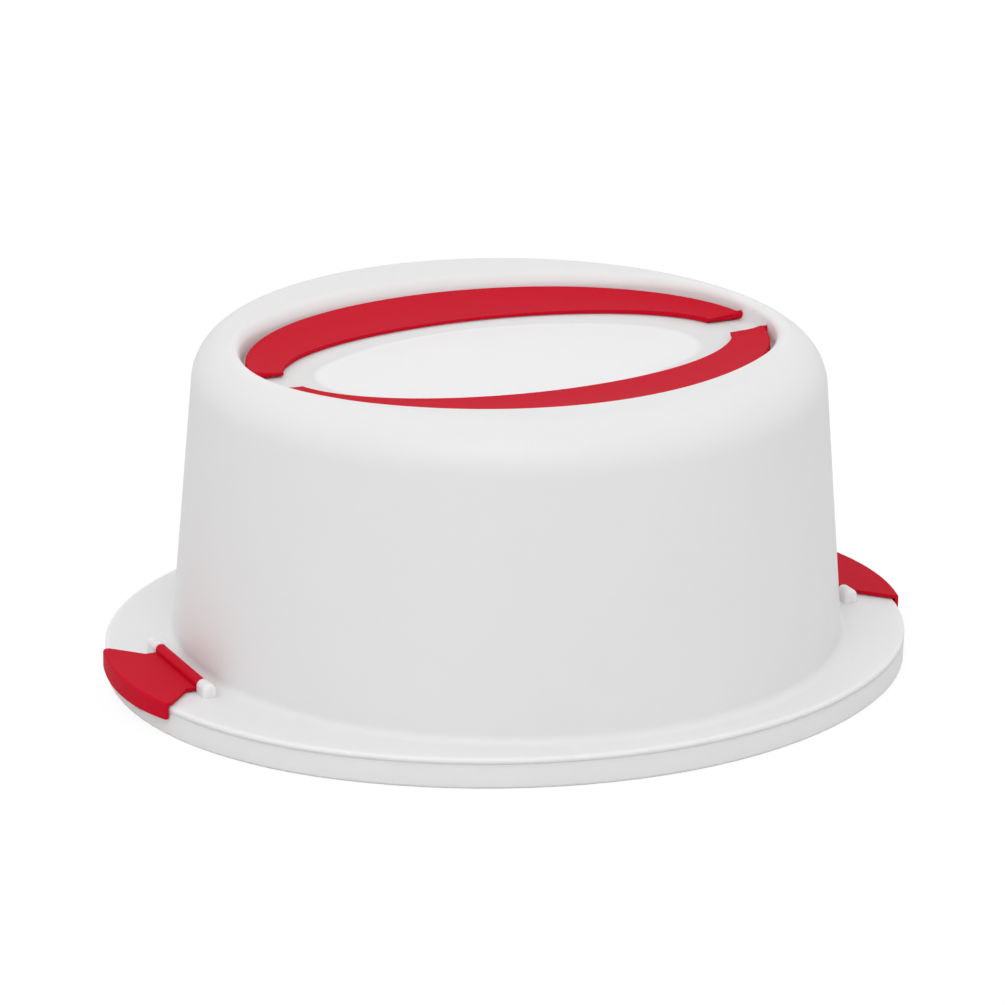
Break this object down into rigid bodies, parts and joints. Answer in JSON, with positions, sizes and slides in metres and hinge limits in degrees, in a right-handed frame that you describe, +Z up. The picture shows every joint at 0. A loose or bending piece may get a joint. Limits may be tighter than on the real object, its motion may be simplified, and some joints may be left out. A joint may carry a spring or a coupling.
{
  "type": "cake carrier",
  "caption": "Round domed cake carrier on an oval tray, with hinged rim latches and folding crescent handles in a recessed top.",
  "frame": {"origin": "on the ground under the middle of the tray", "axes": "+X through the right latch along the oval tray's length, +Y towards the back handle, +Z up"},
  "size_m": [0.3488, 0.3086, 0.1415],
  "materials": {
    "white_plastic": "satin injection-moulded polypropylene",
    "milky_plastic": "milky translucent satin polypropylene",
    "red_plastic": "opaque satin-gloss polypropylene"
  },
  "bodies": {
    "tray": {"tray": "white_plastic"},
    "lid": {"lid": "milky_plastic"},
    "front_handle": {"front_handle": "red_plastic"},
    "back_handle": {"back_handle": "red_plastic"},
    "left_latch": {"left_latch": "red_plastic"},
    "right_latch": {"right_latch": "red_plastic"}
  },
  "joints": [
    {"name": "lid_lift", "type": "slide", "parent": "tray", "child": "lid", "axis": [0, 0, 1], "range_m": [0, 0.16]},
    {"name": "front_handle_fold", "type": "hinge", "parent": "lid", "child": "front_handle", "pos_m": [0, -0.012, 0.13415], "axis": [-1, 0, 0], "range_deg": [0, 96]},
    {"name": "back_handle_fold", "type": "hinge", "parent": "lid", "child": "back_handle", "pos_m": [0, 0.012, 0.13415], "axis": [1, 0, 0], "range_deg": [0, 96]},
    {"name": "left_latch_hinge", "type": "hinge", "parent": "lid", "child": "left_latch", "pos_m": [-0.148, 0, 0.0161], "axis": [0, 1, 0], "range_deg": [0, 95]},
    {"name": "right_latch_hinge", "type": "hinge", "parent": "lid", "child": "right_latch", "pos_m": [0.148, 0, 0.0161], "axis": [0, -1, 0], "range_deg": [0, 95]}
  ]
}
